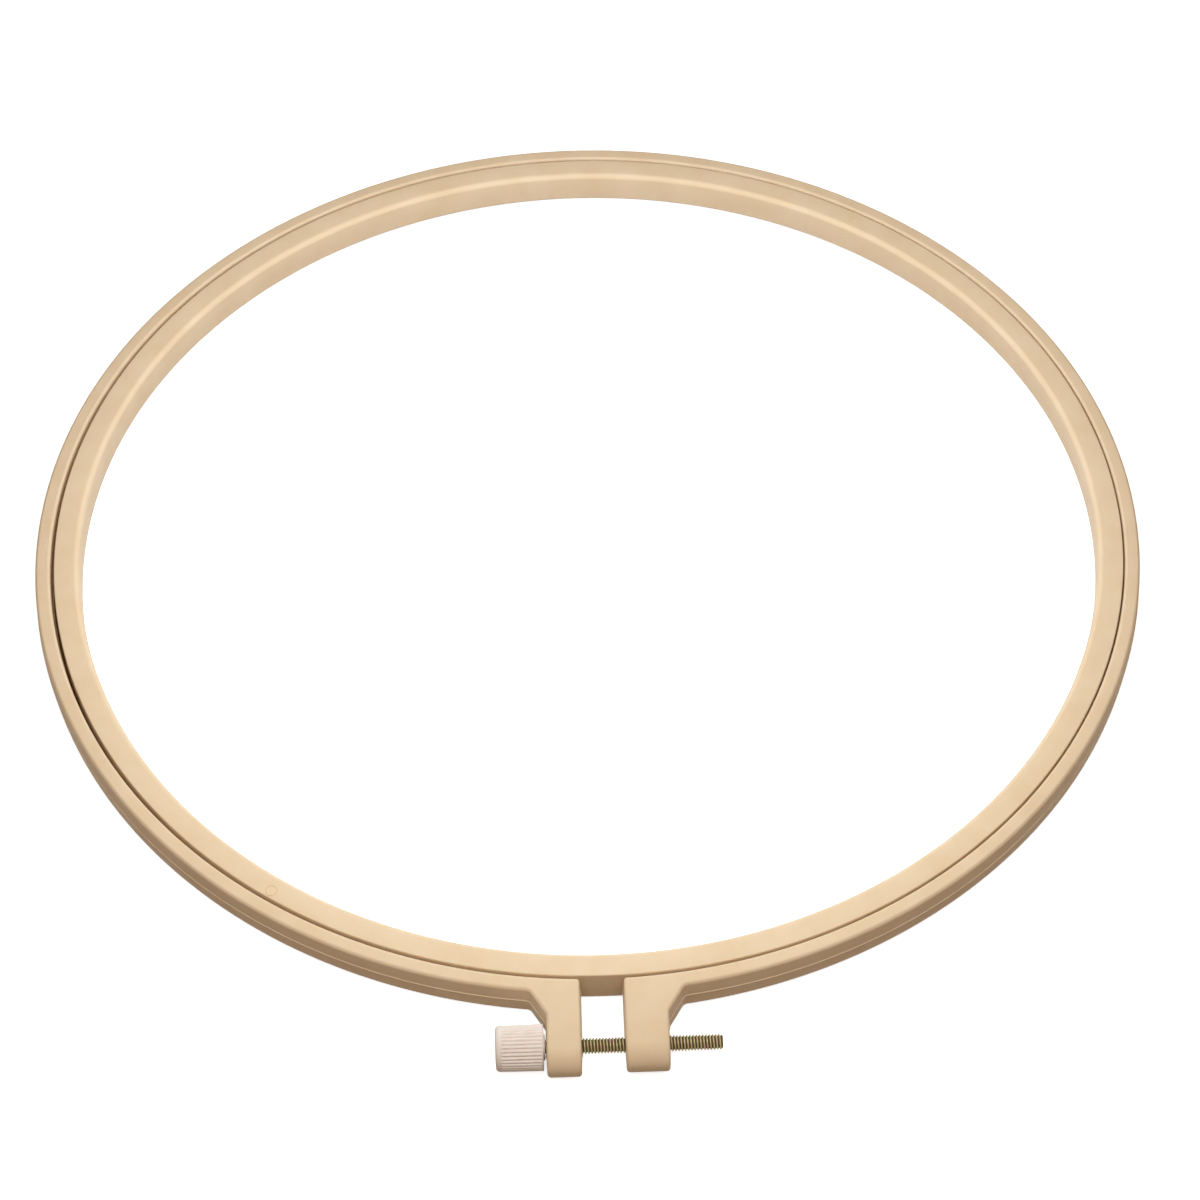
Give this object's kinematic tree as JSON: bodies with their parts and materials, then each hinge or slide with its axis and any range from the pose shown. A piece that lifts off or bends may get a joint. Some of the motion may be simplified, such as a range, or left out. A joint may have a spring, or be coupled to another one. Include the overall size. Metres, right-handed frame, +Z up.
{
  "type": "embroidery hoop",
  "caption": "Round embroidery hoop of moulded plastic: a closed inner hoop inside a split outer hoop that a thumb screw draws tight round fabric.",
  "frame": {"origin": "middle of the whole hoop in plan, lugs included, on the surface that it lies on", "axes": "+Z up out of the hoop's window, the lugs point along -Y, and the clamp screw lies along X with its knob at -X"},
  "size_m": [0.305, 0.3252, 0.0115],
  "materials": {
    "hoop_plastic": "satin moulded polypropylene, beige",
    "knob_plastic": "satin moulded plastic, pale cream, a little pinker than the hoops",
    "screw_steel": "steel with a dark yellow-passivated zinc plate that shows green and pink",
    "nut_steel": "steel with the same yellow-passivated zinc plate as the screw"
  },
  "bodies": {
    "outer": {"outer_hoop": "hoop_plastic", "captive_nut": "nut_steel"},
    "inner": {"inner_hoop": "hoop_plastic"},
    "screw": {"clamp_screw": "screw_steel", "thumb_knob": "knob_plastic"}
  },
  "joints": [
    {"name": "inner_hoop_lift", "type": "slide", "parent": "outer", "child": "inner", "axis": [0, 0, 1], "range_m": [0, 0.02]},
    {"name": "clamp_screw_turn", "type": "hinge", "parent": "outer", "child": "screw", "pos_m": [0, -0.1547, 0.00575], "axis": [1, 0, 0], "range_deg": [-6840, 4680]}
  ]
}
